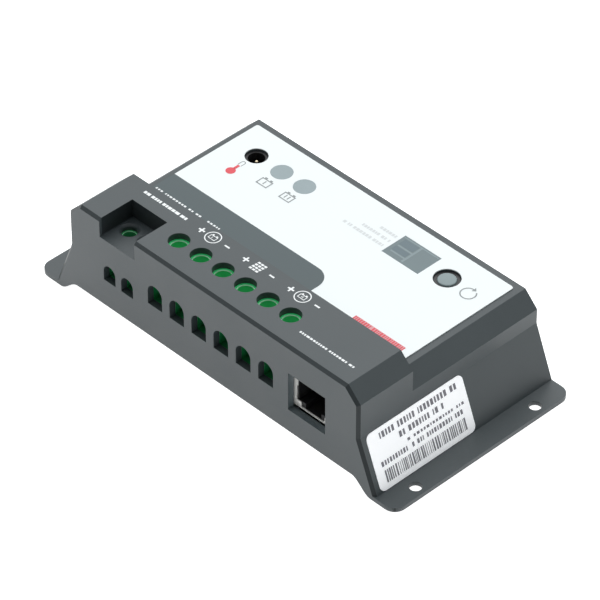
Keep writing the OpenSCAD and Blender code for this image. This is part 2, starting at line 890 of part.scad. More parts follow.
module chip_leads() {
    color(tin)
    union() {
        for (i = [0:10], y = [12.9, 24.02])
            box([-3.4 + i * 0.86, y, pcb_top], [-3 + i * 0.86, y + 1.08, pcb_top + 0.7]);
        for (x = [-34, -24, 18, 28], i = [0:3], side = [-1.1, 3.92])
            box([x + side, 16.4 + i * 1.27, pcb_top], [x + side + 1.08, 16.8 + i * 1.27, pcb_top + 0.7]);
    }
}

top_shell();
base_plate();
base_screws();
faceplate_film();
lamp_window(lamp_x1);  // lamp_window_1
lamp_window(lamp_x2);  // lamp_window_2
display_window();
rating_label();
main_pcb();
pcb_standoffs();
pcb_screws();
display_pcb();
display_spacers();
display_screws();
header_block();
header_pins();
lamp_led(lamp_x1);  // lamp_led_1
lamp_led(lamp_x2);  // lamp_led_2
digit_display();
digit_segments();
level_bars();
button_switch();
button_plunger();
button_cap();
button_collar();
socket_body();
socket_pin();
terminal_block();
terminal_contacts();
terminal_screw(1);  // terminal_screw_1
terminal_screw(2);  // terminal_screw_2
terminal_screw(3);  // terminal_screw_3
terminal_screw(4);  // terminal_screw_4
terminal_screw(5);  // terminal_screw_5
terminal_screw(6);  // terminal_screw_6
terminal_cage(1);  // terminal_cage_1
terminal_cage(2);  // terminal_cage_2
terminal_cage(3);  // terminal_cage_3
terminal_cage(4);  // terminal_cage_4
terminal_cage(5);  // terminal_cage_5
terminal_cage(6);  // terminal_cage_6
aux_block();
aux_contacts();
aux_screw(1);  // aux_screw_1
aux_screw(2);  // aux_screw_2
aux_cage(1);  // aux_cage_1
aux_cage(2);  // aux_cage_2
jack_shield();
jack_insert();
jack_contacts();
capacitors();
transistor_bodies();
transistor_tabs();
thermal_pad();
current_shunts();
supply_inductor();
controller_chip();
chip_leads();
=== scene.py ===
"""Charge controller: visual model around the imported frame. All lengths in metres."""

import math
import random

import bmesh
import bpy
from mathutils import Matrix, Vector


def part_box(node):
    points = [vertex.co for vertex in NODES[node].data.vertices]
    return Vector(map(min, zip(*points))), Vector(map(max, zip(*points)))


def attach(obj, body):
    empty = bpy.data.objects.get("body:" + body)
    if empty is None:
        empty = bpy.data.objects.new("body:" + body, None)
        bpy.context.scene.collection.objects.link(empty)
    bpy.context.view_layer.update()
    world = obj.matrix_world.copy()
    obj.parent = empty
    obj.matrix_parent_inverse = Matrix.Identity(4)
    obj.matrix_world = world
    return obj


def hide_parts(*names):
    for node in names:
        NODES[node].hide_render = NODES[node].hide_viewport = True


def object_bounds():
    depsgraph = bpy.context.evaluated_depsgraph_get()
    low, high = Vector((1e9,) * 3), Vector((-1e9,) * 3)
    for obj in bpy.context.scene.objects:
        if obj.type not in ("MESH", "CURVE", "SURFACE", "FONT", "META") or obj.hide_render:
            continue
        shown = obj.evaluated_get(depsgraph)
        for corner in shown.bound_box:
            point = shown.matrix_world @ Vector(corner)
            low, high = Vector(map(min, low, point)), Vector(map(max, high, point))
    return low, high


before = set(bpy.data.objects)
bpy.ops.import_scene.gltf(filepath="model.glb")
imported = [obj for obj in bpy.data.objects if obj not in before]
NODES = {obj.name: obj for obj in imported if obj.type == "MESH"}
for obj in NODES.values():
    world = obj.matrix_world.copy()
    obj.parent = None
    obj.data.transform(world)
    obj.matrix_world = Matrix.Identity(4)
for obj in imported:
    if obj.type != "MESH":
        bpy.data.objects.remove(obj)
cad_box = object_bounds()
MM = 0.001


# ---------------------------------------------------------------- places taken from the frame

def centre(node):
    low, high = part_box(node)
    return (low + high) / 2


FILM_LOW, FILM_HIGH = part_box("faceplate_film")
SHELL_LOW, SHELL_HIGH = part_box("top_shell")
FILM_TOP = FILM_HIGH.z
BLOCK_TOP = SHELL_HIGH.z
FRONT = SHELL_LOW.y
STEP = FILM_LOW.y
POLES = [centre(f"terminal_screw_{i}") for i in range(1, 7)]
SMALL_POLES = [centre(f"aux_screw_{i}") for i in range(1, 3)]
# Pocket region whose walls housing_plastic paints darker: painted shade.
POCKET_SIDES = (("X", "LESS_THAN", SMALL_POLES[1].x + 4 * MM), ("X", "GREATER_THAN", SHELL_LOW.x + 22 * MM),
                ("Y", "GREATER_THAN", FRONT + 1 * MM), ("Z", "GREATER_THAN", BLOCK_TOP - 6.4 * MM))
JACK_LOW, JACK_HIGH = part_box("jack_shield")
# Region of the jack window's sides, which housing_plastic paints paler: painted light.
REVEAL_SIDES = (("X", "GREATER_THAN", JACK_LOW.x - 1 * MM), ("X", "LESS_THAN", JACK_HIGH.x + 1 * MM),
                ("Y", "GREATER_THAN", FRONT + 0.1 * MM), ("Y", "LESS_THAN", JACK_LOW.y + 1 * MM),
                ("Z", "GREATER_THAN", JACK_LOW.z - 1 * MM), ("Z", "LESS_THAN", JACK_HIGH.z + 1 * MM))
INK_LIFT = 0.03 * MM


# ---------------------------------------------------------------- material helpers

class Graph:
    """A new material with short calls for its nodes. The principled shader is self.shader."""

    def __init__(self, name, colour, roughness, metallic=0.0, specular=0.5):
        self.material = bpy.data.materials.new(name)
        self.material.use_nodes = True
        self.material.diffuse_color = (*colour, 1.0)
        self.tree = self.material.node_tree
        self.shader = self.tree.nodes["Principled BSDF"]
        self.set("Base Color", (*colour, 1.0))
        self.set("Roughness", roughness)
        self.set("Metallic", metallic)
        self.set("Specular IOR Level", specular)
        self.place = self.add("ShaderNodeTexCoord").outputs["Object"]

    def add(self, kind, **values):
        node = self.tree.nodes.new(kind)
        for key, value in values.items():
            setattr(node, key, value)
        return node

    def set(self, socket, value):
        self.shader.inputs[socket].default_value = value

    def link(self, source, target):
        self.tree.links.new(source, target)

    def stretched(self, scale):
        node = self.add("ShaderNodeMapping")
        node.inputs["Scale"].default_value = scale
        self.link(self.place, node.inputs["Vector"])
        return node.outputs["Vector"]

    def noise(self, scale, detail=3.0, rough=0.55, vector=None):
        node = self.add("ShaderNodeTexNoise")
        node.inputs["Scale"].default_value = scale
        node.inputs["Detail"].default_value = detail
        node.inputs["Roughness"].default_value = rough
        self.link(vector or self.place, node.inputs["Vector"])
        return node.outputs["Fac"]

    def cells(self, scale, feature="F1"):
        node = self.add("ShaderNodeTexVoronoi", feature=feature)
        node.inputs["Scale"].default_value = scale
        self.link(self.place, node.inputs["Vector"])
        return node.outputs["Distance"]

    def range(self, value, low, high, start=0.0, end=1.0):
        node = self.add("ShaderNodeMapRange")
        self.link(value, node.inputs["Value"])
        for key, number in (("From Min", start), ("From Max", end), ("To Min", low), ("To Max", high)):
            node.inputs[key].default_value = number
        return node.outputs["Result"]

    def blend(self, factor, first, second):
        """Mixes two colours, of which the first may be a socket."""
        node = self.add("ShaderNodeMix", data_type="RGBA")
        self.link(factor, node.inputs["Factor"])
        if isinstance(first, tuple):
            node.inputs["A"].default_value = (*first, 1.0)
        else:
            self.link(first, node.inputs["A"])
        node.inputs["B"].default_value = (*second, 1.0)
        return node.outputs["Result"]

    def split(self, vector):
        node = self.add("ShaderNodeSeparateXYZ")
        self.link(vector, node.inputs["Vector"])
        return node.outputs

    def within(self, mask, spot, sides):
        """Keeps a mask only where the spot passes each test of axis, comparison and limit."""
        for axis, test, limit in sides:
            mask = self.maths("MULTIPLY", mask, self.maths(test, spot[axis], limit))
        return mask

    def maths(self, operation, first, second):
        node = self.add("ShaderNodeMath", operation=operation)
        for socket, value in zip(node.inputs, (first, second)):
            if isinstance(value, (int, float)):
                socket.default_value = value
            else:
                self.link(value, socket)
        return node.outputs[0]

    def bump(self, height, strength, distance):
        node = self.add("ShaderNodeBump")
        node.inputs["Strength"].default_value = strength
        node.inputs["Distance"].default_value = distance
        self.link(height, node.inputs["Height"])
        self.link(node.outputs["Normal"], self.shader.inputs["Normal"])

    def colour(self, source):
        self.link(source, self.shader.inputs["Base Color"])

    def roughness(self, source):
        self.link(source, self.shader.inputs["Roughness"])


def tint(colour, factor):
    return tuple(min(1.0, channel * factor) for channel in colour)


def moulded_plastic(name, colour, roughness=0.45, grain=0.35 * MM, depth=0.03 * MM, spread=0.08, strength=0.35):
    """Injection-moulded plastic: fine spark-eroded grain, faint flow variation, slightly uneven gloss."""
    graph = Graph(name, colour, roughness)
    flow = graph.noise(38, 3)
    speckle = graph.noise(1 / grain, 2, 0.6)
    graph.colour(graph.blend(flow, tint(colour, 1 - spread), tint(colour, 1 + spread)))
    gloss = graph.maths("ADD", graph.range(flow, -0.05, 0.05, 0.3, 0.7), graph.range(speckle, -0.05, 0.05))
    graph.roughness(graph.maths("ADD", gloss, roughness))
    graph.bump(speckle, strength, depth)
    return graph.material


def housing_plastic(name, colour):
    """Grained black plastic, with painted shade and light: bevels and pocket walls painted darker and less glossy as
    shade, the jack window's sides painted paler as light.
    """
    graph = Graph(name, colour, 0.42)
    flow = graph.noise(38, 3)
    speckle = graph.noise(1 / (0.32 * MM), 2, 0.6)
    normal = graph.split(graph.add("ShaderNodeNewGeometry").outputs["True Normal"])
    spot = graph.split(graph.place)
    # Painted shade: the bevels along the front face are painted darker, as if in shade.
    towards_bevel = graph.maths("ABSOLUTE", graph.maths("ADD", normal["Y"], math.sqrt(0.5)), 0.0)
    bevel = graph.range(towards_bevel, 1.0, 0.0, 0.03, 0.14)
    bevel = graph.within(bevel, spot, [("Y", "LESS_THAN", FRONT + 3 * MM)])
    bevel = graph.maths("MULTIPLY", bevel, graph.range(normal["Z"], 1.0, 0.55, 0.4, 0.6))
    # Painted shade: the near-vertical walls inside the pocket are painted darker, as if in shade.
    wall = graph.maths("LESS_THAN", graph.maths("ABSOLUTE", normal["Z"], 0.0), 0.3)
    painted_shade_mask = graph.maths("MAXIMUM", bevel, graph.within(wall, spot, POCKET_SIDES))
    # Painted light: the sides of the jack window are painted paler, as if lit.
    painted_light_mask = graph.maths("LESS_THAN", graph.maths("ABSOLUTE", normal["Y"], 0.0), 0.3)
    painted_light_mask = graph.within(painted_light_mask, spot, REVEAL_SIDES)
    grained = graph.blend(flow, tint(colour, 0.92), tint(colour, 1.08))
    # Painted shade: the bevels and pocket walls are painted at 0.45 of the grey.
    dark = graph.blend(painted_shade_mask, grained, tint(colour, 0.45))
    # Painted light: the window's sides are painted 2.2 times paler than the grey.
    graph.colour(graph.blend(painted_light_mask, dark, tint(colour, 2.2)))
    # Painted shade: less specular on the same bevels and pocket walls.
    graph.link(graph.range(painted_shade_mask, 0.5, 0.2), graph.shader.inputs["Specular IOR Level"])
    gloss = graph.maths("ADD", graph.range(flow, -0.05, 0.05, 0.3, 0.7), graph.range(speckle, -0.05, 0.05))
    graph.roughness(graph.maths("ADD", gloss, 0.42))
    graph.bump(speckle, 0.3, 0.03 * MM)
    return graph.material


def terminal_plastic(name, deep, bright):
    """Glossy nylon with painted light: its colour is painted brighter towards its top face, where it also glows."""
    graph = Graph(name, bright, 0.2)
    flow = graph.noise(60, 3)
    # Painted light: a mask rising over the block's upper part, which brightens the colour there.
    height = graph.range(graph.split(graph.place)["Z"], 0.0, 1.0, BLOCK_TOP - 12 * MM, BLOCK_TOP - 5 * MM)
    painted_light_and_flow = graph.maths("ADD", height, graph.range(flow, -0.1, 0.1, 0.3, 0.7))
    graph.colour(graph.blend(painted_light_and_flow, deep, bright))
    # Painted light: a faint glow towards the top, though the block is no lamp.
    graph.set("Emission Color", (*bright, 1.0))
    graph.link(graph.range(height, 0.0, 0.09), graph.shader.inputs["Emission Strength"])
    speckle = graph.noise(1 / (0.3 * MM), 2, 0.6)
    graph.roughness(graph.range(speckle, 0.15, 0.28))
    graph.bump(speckle, 0.3, 0.01 * MM)
    return graph.material


def film(name, colour, roughness=0.4, painted_glow=0.0):
    """Printed polyester or paper: nearly smooth, with a very fine satin texture, and an optional glow that is painted
    light.
    """
    graph = Graph(name, colour, roughness)
    fine = graph.noise(5200, 2, 0.6)
    broad = graph.noise(30, 2)
    graph.colour(graph.blend(broad, tint(colour, 0.985), tint(colour, 1.01)))
    graph.roughness(graph.range(fine, roughness - 0.06, roughness + 0.06))
    graph.bump(fine, 0.12, 0.02 * MM)
    # Painted light: an optional glow, though the film is no lamp.
    graph.set("Emission Color", (*colour, 1.0))
    graph.set("Emission Strength", painted_glow)
    return graph.material


def ink(name, colour, roughness=0.5, coverage=0.06):
    """Screen-printed ink, with slight unevenness of its layer."""
    graph = Graph(name, colour, roughness)
    grain = graph.noise(2600, 3, 0.6)
    graph.colour(graph.blend(grain, tint(colour, 1 - coverage), tint(colour, 1 + coverage)))
    graph.roughness(graph.range(grain, roughness - 0.08, roughness + 0.08))
    graph.bump(grain, 0.1, 0.01 * MM)
    return graph.material


def brushed_metal(name, colour, roughness=0.32, along=(1, 14, 1), scale=900, metallic=1.0):
    """Rolled or brushed metal: long fine streaks and faint smudges."""
    graph = Graph(name, colour, roughness, metallic)
    streaks = graph.noise(scale / 6, 4, 0.65, graph.stretched(along))
    smudge = graph.noise(90, 3)
    graph.colour(graph.blend(streaks, tint(colour, 0.88), tint(colour, 1.04)))
    uneven = graph.range(smudge, -0.06, 0.08, 0.3, 0.7)
    graph.roughness(graph.maths("ADD", graph.range(streaks, roughness - 0.08, roughness + 0.1), uneven))
    graph.bump(streaks, 0.12, 0.02 * MM)
    return graph.material


def plated_metal(name, colour, roughness=0.28, spots=0.3):
    """Zinc, tin or gold plating: small crystalline variation and dull patches."""
    graph = Graph(name, colour, roughness, metallic=1.0)
    crystal = graph.cells(1900)
    patch = graph.noise(260, 4, 0.6)
    graph.colour(graph.blend(patch, tint(colour, 1 - spots * 0.5), tint(colour, 1.05)))
    graph.roughness(graph.maths("ADD", graph.range(patch, roughness - 0.08, roughness + 0.14),
                                graph.range(crystal, -0.03, 0.03)))
    graph.bump(crystal, 0.08, 0.02 * MM)
    return graph.material


def screw_metal(name, colour):
    """Zinc plating with a dark passivation in the recesses, which lie below the top of each head."""
    graph = Graph(name, colour, 0.34, metallic=1.0)
    patch = graph.noise(420, 4, 0.6)
    level = graph.split(graph.place)["Z"]
    large_top, small_top = (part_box(node)[1].z for node in ("terminal_screw_1", "aux_screw_1"))
    below_large = graph.maths("LESS_THAN", level, large_top - 0.2 * MM)
    from_small = graph.maths("ABSOLUTE", graph.maths("SUBTRACT", level, small_top), 0.0)
    off_small = graph.maths("SUBTRACT", 1.0, graph.maths("LESS_THAN", from_small, 0.2 * MM))
    recess = graph.maths("MULTIPLY", below_large, off_small)
    plating = graph.blend(patch, tint(colour, 0.8), tint(colour, 1.05))
    graph.colour(graph.blend(graph.maths("MULTIPLY", recess, 0.8), plating, (0.08, 0.08, 0.085)))
    graph.roughness(graph.range(patch, 0.26, 0.46))
    graph.bump(patch, 0.1, 0.02 * MM)
    return graph.material


def solder_mask(name):
    """Green board lacquer over copper tracks, which show as slightly raised and lighter lines."""
    graph = Graph(name, (0.02, 0.16, 0.07), 0.3)
    tracks = graph.add("ShaderNodeTexBrick", offset=0.5, squash=1.6)
    tracks.inputs["Scale"].default_value = 210
    tracks.inputs["Mortar Size"].default_value = 0.03
    tracks.inputs["Brick Width"].default_value = 0.9
    tracks.inputs["Row Height"].default_value = 0.3
    graph.link(graph.place, tracks.inputs["Vector"])
    line = tracks.outputs["Fac"]
    graph.colour(graph.blend(line, (0.015, 0.12, 0.05), (0.03, 0.24, 0.1)))
    weave = graph.noise(3000, 2)
    graph.roughness(graph.range(weave, 0.24, 0.36))
    graph.bump(line, 0.3, 0.03 * MM)
    return graph.material


def smoked_window(name, colour, roughness=0.34):
    """Tinted translucent window: a satin skin over a denser body."""
    graph = Graph(name, colour, roughness)
    cloud = graph.noise(260, 3)
    fine = graph.noise(4200, 2)
    graph.colour(graph.blend(cloud, tint(colour, 0.94), tint(colour, 1.05)))
    graph.roughness(graph.range(fine, roughness - 0.05, roughness + 0.06))
    graph.set("Coat Weight", 0.1)
    graph.set("Coat Roughness", 0.3)
    graph.bump(fine, 0.06, 0.02 * MM)
    return graph.material


def clear_resin(name, colour):
    """Lamp body: cast resin, partly see-through."""
    graph = Graph(name, colour, 0.12)
    swirl = graph.noise(700, 3)
    graph.colour(graph.blend(swirl, tint(colour, 0.92), tint(colour, 1.06)))
    graph.roughness(graph.range(swirl, 0.08, 0.2))
    graph.set("Transmission Weight", 0.6)
    graph.set("IOR", 1.5)
    return graph.material


def wound_label(name):
    """Capacitor sleeve: dark shrink film with a pale stripe down one side and a bare metal top."""
    graph = Graph(name, (0.02, 0.025, 0.05), 0.3)
    normal = graph.split(graph.add("ShaderNodeNewGeometry").outputs["Normal"])
    stripe = graph.range(normal["X"], 0.0, 1.0, 0.86, 0.88)
    top = graph.range(normal["Z"], 0.0, 1.0, 0.9, 0.95)
    graph.colour(graph.blend(graph.maths("MAXIMUM", stripe, top), (0.02, 0.025, 0.05), (0.6, 0.6, 0.6)))
    film_noise = graph.noise(900, 2)
    graph.roughness(graph.range(film_noise, 0.22, 0.4))
    graph.bump(film_noise, 0.1, 0.02 * MM)
    return graph.material


# ---------------------------------------------------------------- materials

HOUSING_GREY = (0.041, 0.052, 0.056)
BAND_GREY = (0.043, 0.066, 0.071)

MATERIALS = {
    "housing": housing_plastic("housing_plastic", HOUSING_GREY),
    "film_white": film("white_film", (0.78, 0.815, 0.815)),
    "band": film("grey_print", BAND_GREY, 0.42),
    # The sticker's glow is painted light that brightens it.
    "sticker": film("sticker_paper", (0.96, 0.97, 0.985), 0.5, painted_glow=0.12),
    "lamp_window": smoked_window("lamp_window_grey", (0.25, 0.31, 0.325)),
    "display_window": smoked_window("display_window_grey", (0.115, 0.16, 0.17)),
    "display_bars": smoked_window("display_bar_grey", (0.18, 0.235, 0.245)),
    "display_dark": smoked_window("display_block_grey", (0.085, 0.13, 0.15)),
    "button": moulded_plastic("button_grey", (0.2, 0.255, 0.26), 0.38, grain=0.25 * MM, spread=0.04),
    "black": moulded_plastic("black_plastic", (0.012, 0.012, 0.013), 0.4, spread=0.15),
    "terminal_green": terminal_plastic("terminal_green", (0.012, 0.2, 0.06), (0.045, 0.6, 0.18)),
    # The lip's pale green is a painted highlight.
    "terminal_lip_highlight": moulded_plastic("terminal_lip_painted_highlight", (0.3, 0.72, 0.42), 0.2, grain=0.3 * MM, depth=0.01 * MM),
    "plate": brushed_metal("plate_aluminium", (0.72, 0.73, 0.74), 0.36),
    "clamp_metal": plated_metal("clamp_plating", (0.68, 0.68, 0.66), 0.32),
    "zinc": plated_metal("zinc_screw", (0.62, 0.63, 0.62), 0.3),
    "clamp_screw": screw_metal("clamp_screw_zinc", (0.5, 0.51, 0.51)),
    "shield": brushed_metal("shield_tinplate", (0.9, 0.89, 0.85), 0.42, (12, 1, 1), metallic=0.55),
    "gold": plated_metal("gold_plating", (0.83, 0.62, 0.26), 0.22),
    "pin": plated_metal("pin_plating", (0.8, 0.68, 0.48), 0.3),
    "board": solder_mask("board_lacquer"),
    "nylon": moulded_plastic("white_nylon", (0.72, 0.71, 0.66), 0.5, spread=0.03),
    "lamp": clear_resin("lamp_resin", (0.6, 0.85, 0.6)),
    "segment": smoked_window("segment_white", (0.55, 0.56, 0.54)),
    "capacitor": wound_label("capacitor_sleeve"),
    "pad": moulded_plastic("silicone_pad", (0.26, 0.3, 0.34), 0.6, grain=0.9 * MM),
    "shunt": brushed_metal("shunt_alloy", (0.55, 0.38, 0.26), 0.35),
    "ferrite": moulded_plastic("ferrite_core", (0.03, 0.03, 0.032), 0.7, grain=0.2 * MM, spread=0.2),
    "ink_white": ink("white_ink", (0.8, 0.82, 0.82)),
    "ink_grey": ink("grey_ink", (0.25, 0.27, 0.27)),
    "ink_faint": ink("faint_ink", (0.62, 0.64, 0.64)),
    "ink_red": ink("red_ink", (0.68, 0.05, 0.07)),
    "ink_rose": ink("rose_ink", (0.68, 0.3, 0.32)),
    "ink_black": ink("sticker_ink", (0.16, 0.16, 0.18)),
}

NODE_MATERIALS = {
    "top_shell": "housing", "base_plate": "plate", "base_screws": "zinc", "faceplate_film": "film_white",
    "lamp_window_1": "lamp_window", "lamp_window_2": "lamp_window", "display_window": "display_window",
    "rating_label": "sticker", "main_pcb": "board", "pcb_standoffs": "gold", "pcb_screws": "zinc",
    "display_pcb": "board", "display_spacers": "nylon", "display_screws": "zinc", "header_block": "black",
    "header_pins": "gold", "lamp_led_1": "lamp", "lamp_led_2": "lamp", "digit_display": "black",
    "digit_segments": "segment", "level_bars": "segment", "button_switch": "black",
    # The button collar is black plastic, dark enough to stand in for the shade in the gap round the cap: partly
    # painted shade.
    "button_plunger": "clamp_metal", "button_cap": "button", "button_collar": "black",
    "socket_body": "black", "socket_pin": "pin", "terminal_block": "terminal_green",
    "terminal_contacts": "clamp_metal", "aux_block": "terminal_green", "aux_contacts": "clamp_metal",
    "jack_shield": "shield", "jack_insert": "black", "jack_contacts": "gold", "capacitors": "capacitor",
    "transistor_bodies": "black", "transistor_tabs": "clamp_metal", "thermal_pad": "pad",
    "current_shunts": "shunt", "supply_inductor": "ferrite", "controller_chip": "black",
    "chip_leads": "clamp_metal",
}
for kind, count in (("terminal", 6), ("aux", 2)):
    for number in range(1, count + 1):
        NODE_MATERIALS[f"{kind}_screw_{number}"] = "clamp_screw"
        NODE_MATERIALS[f"{kind}_cage_{number}"] = "clamp_metal"


def dress_nodes():
    for name, key in NODE_MATERIALS.items():
        mesh = NODES[name].data
        mesh.materials.clear()
        mesh.materials.append(MATERIALS[key])


def soften_edges(name, width, segments=2):
    """Rounds a CAD node's edges a little, as moulding or tumbling does."""
    piece = NODES[name]
    weld = piece.modifiers.new("weld", "WELD")
    weld.merge_threshold = 0.0005 * MM
    flat = piece.modifiers.new("flat", "DECIMATE")
    flat.decimate_type = "DISSOLVE"
    flat.angle_limit = math.radians(0.6)
    bevel = piece.modifiers.new("soft", "BEVEL")
    bevel.width = width
    bevel.segments = segments
    bevel.limit_method = "ANGLE"
    bevel.angle_limit = math.radians(25)
    bevel.harden_normals = False


# ---------------------------------------------------------------- flat print

class Print:
    """Flat shapes gathered in one mesh, drawn in millimetres on a plane given by an origin and two axes."""

    def __init__(self, name, origin, right, up, material):
        self.name = name
        self.origin = Vector(origin)
        self.right = Vector(right).normalized()
        self.up = Vector(up).normalized()
        self.material = material
        self.mesh = bmesh.new()

    def point(self, x, y):
        return self.origin + self.right * (x * MM) + self.up * (y * MM)

    def shape(self, points):
        verts = [self.mesh.verts.new(self.point(x, y)) for x, y in points]
        self.mesh.faces.new(verts)

    def bar(self, x0, y0, x1, y1):
        self.shape([(x0, y0), (x1, y0), (x1, y1), (x0, y1)])

    def stroke(self, x0, y0, x1, y1, width):
        along = Vector((x1 - x0, y1 - y0)).normalized()
        side = Vector((-along.y, along.x)) * width / 2
        ends = Vector((x0, y0)), Vector((x1, y1))
        self.shape([tuple(ends[0] - side), tuple(ends[1] - side), tuple(ends[1] + side), tuple(ends[0] + side)])

    def arc(self, x, y, radius, width, start, end, steps=40):
        for step in range(steps):
            a = math.radians(start + (end - start) * step / steps)
            b = math.radians(start + (end - start) * (step + 1) / steps)
            inner, outer = radius - width / 2, radius + width / 2
            self.shape([(x + inner * math.cos(a), y + inner * math.sin(a)),
                        (x + outer * math.cos(a), y + outer * math.sin(a)),
                        (x + outer * math.cos(b), y + outer * math.sin(b)),
                        (x + inner * math.cos(b), y + inner * math.sin(b))])

    def disc(self, x, y, radius, steps=32):
        self.shape([(x + radius * math.cos(math.tau * k / steps), y + radius * math.sin(math.tau * k / steps))
                    for k in range(steps)])

    def frame(self, x0, y0, x1, y1, width):
        self.bar(x0, y0, x1, y0 + width)
        self.bar(x0, y1 - width, x1, y1)
        self.bar(x0, y0 + width, x0 + width, y1 - width)
        self.bar(x1 - width, y0 + width, x1, y1 - width)

    def plus(self, x, y, size, width):
        self.bar(x - size / 2, y - width / 2, x + size / 2, y + width / 2)
        self.bar(x - width / 2, y - size / 2, x + width / 2, y - width / 2)
        self.bar(x - width / 2, y + width / 2, x + width / 2, y + size / 2)

    def minus(self, x, y, size, width):
        self.bar(x - size / 2, y - width / 2, x + size / 2, y + width / 2)

    def dashes(self, x0, x1, y, height, seed, shortest=0.5, longest=1.3, gap=0.3):
        """A line of print shown as plain dashes of uneven length."""
        chance = random.Random(seed)
        x = x0
        while x < x1 - shortest:
            end = min(x + chance.uniform(shortest, longest), x1)
            self.bar(x, y - height / 2, end, y + height / 2)
            x = end + gap * (3 if chance.random() < 0.15 else 1)

    def finish(self, body="housing", slot=None):
        data = bpy.data.meshes.new(self.name)
        bmesh.ops.recalc_face_normals(self.mesh, faces=self.mesh.faces)
        self.mesh.to_mesh(data)
        self.mesh.free()
        data.materials.append(MATERIALS[self.material])
        piece = bpy.data.objects.new(self.name, data)
        bpy.context.scene.collection.objects.link(piece)
        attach(piece, body)
        return piece


def face_print(name, material, lift=1.0):
    """Print on the control face. Coordinates are the frame's X and Y in millimetres."""
    return Print(name, (0, 0, FILM_TOP + INK_LIFT * lift), (1, 0, 0), (0, 1, 0), material)


def block_print(name, material):
    return Print(name, (0, 0, BLOCK_TOP + INK_LIFT), (1, 0, 0), (0, 1, 0), material)


def in_mm(value):
    return value / MM


def dark_band():
    """Grey printed band along the front of the film, with one rounded corner."""
    band = face_print("print_band", "band")
    left, front = in_mm(FILM_LOW.x), in_mm(FILM_LOW.y)
    right, back, radius = 13.6, -0.2, 5.8
    corner = [(right - radius + radius * math.cos(a), back - radius + radius * math.sin(a))
              for a in (math.radians(90 * k / 12) for k in range(13))]
    band.shape([(left, front), (right, front)] + corner + [(left, back)])
    band.finish(slot="housing")
    heading = face_print("print_band_text", "ink_white", 2.0)
    heading.dashes(left + 1.0, left + 20.8, front + 6.2, 0.7, 3, 0.5, 1.0, 0.4)
    heading.dashes(left + 23.6, left + 28.8, front + 6.2, 0.7, 5, 0.5, 1.0, 0.4)
    heading.finish(slot="film_white")


def battery_marks():
    marks = face_print("print_batteries", "ink_grey")
    for node, digits in (("lamp_window_1", 1), ("lamp_window_2", 2)):
        x, y = in_mm(centre(node).x), in_mm(centre(node).y) - 7.2
        marks.frame(x - 2.25, y - 1.8, x + 2.25, y + 1.5, 0.4)
        for side in (-1.1, 1.1):
            marks.bar(x + side - 0.5, y + 1.5, x + side + 0.5, y + 2.1)
        for digit in range(digits):
            shift = (digit - (digits - 1) / 2) * 1.3
            marks.bar(x + shift - 0.2, y - 0.9, x + shift + 0.2, y + 0.7)
    marks.finish(slot="film_white")


def thermometer_mark():
    x, y = in_mm(centre("socket_body").x) - 0.3, in_mm(centre("socket_body").y) - 10.6
    mark = face_print("print_thermometer", "ink_red")
    mark.disc(x, y, 1.6)
    mark.bar(x - 0.5, y + 1.5, x + 0.5, y + 3.6)
    mark.finish(slot="film_white")
    tube = face_print("print_thermometer_tube", "ink_grey")
    for side in (-0.7, 0.7):
        tube.bar(x + side - 0.14, y + 3.7, x + side + 0.14, y + 5.3)
    tube.arc(x, y + 5.3, 0.7, 0.28, 0, 180, 14)
    tube.finish(slot="film_white")


def cycle_mark():
    """Ring arrow beside the button, turning clockwise."""
    x, y = in_mm(centre("button_cap").x) + 9.2, in_mm(centre("button_cap").y) - 0.6
    mark = face_print("print_cycle", "ink_grey")
    mark.arc(x, y, 2.45, 0.42, 92, 410)
    mark.shape([(x - 0.1, y + 1.45), (x + 1.0, y + 2.35), (x - 0.1, y + 3.45)])
    mark.finish(slot="film_white")


def faint_lines():
    lines = face_print("print_faint_lines", "ink_faint")
    right, back = in_mm(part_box("display_window")[0].x) - 1.4, in_mm(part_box("display_window")[1].y) - 2.4
    for row, length in enumerate((6.7, 11.4, 16.6)):
        lines.dashes(right - length, right, back - 2.85 * row, 1.15, 20 + row, 0.5, 1.1, 0.3)
    lines.finish(slot="film_white")


def red_line():
    """Line of red print along the step, on a pink ground."""
    x0, x1, y = 30.7, 51.0, -8.3
    ground = face_print("print_red_ground", "ink_rose")
    ground.bar(x0, y - 0.9, x1, y + 0.95)
    ground.finish(slot="film_white")
    strip = face_print("print_red_line", "ink_red", 2.0)
    strip.dashes(x0 + 0.1, x1, y, 1.45, 41, 0.3, 0.7, 0.35)
    strip.finish(slot="film_white")


def display_detail():
    """Display window: pale divider and row lines over a smoked ground, level bars on the left half."""
    low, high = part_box("display_window")
    x0, y0, x1, y1 = (in_mm(v) for v in (low.x, low.y, high.x, high.y))
    split = (x0 + x1) / 2 + 0.2
    rows = face_print("print_display_lines", "display_bars", 0.6)
    rows.bar(split - 0.4, y0 + 0.6, split + 0.4, y1 - 0.9)
    for y in (y0 + 2.2, y0 + 5.4):
        rows.bar(x0 + 1.6, y - 0.3, split - 0.4, y + 0.3)
    rows.bar(x0 + 0.3, y1 - 0.9, x1 - 0.3, y1 - 0.45)
    rows.finish(slot="window_grey")
    blocks = face_print("print_display_blocks", "display_dark", 0.6)
    blocks.bar(x0 + 1.2, y0 + 5.9, split - 0.7, y1 - 1.2)
    blocks.bar(x0 + 1.2, y0 + 2.7, split - 0.7, y0 + 4.9)
    blocks.finish(slot="window_grey")


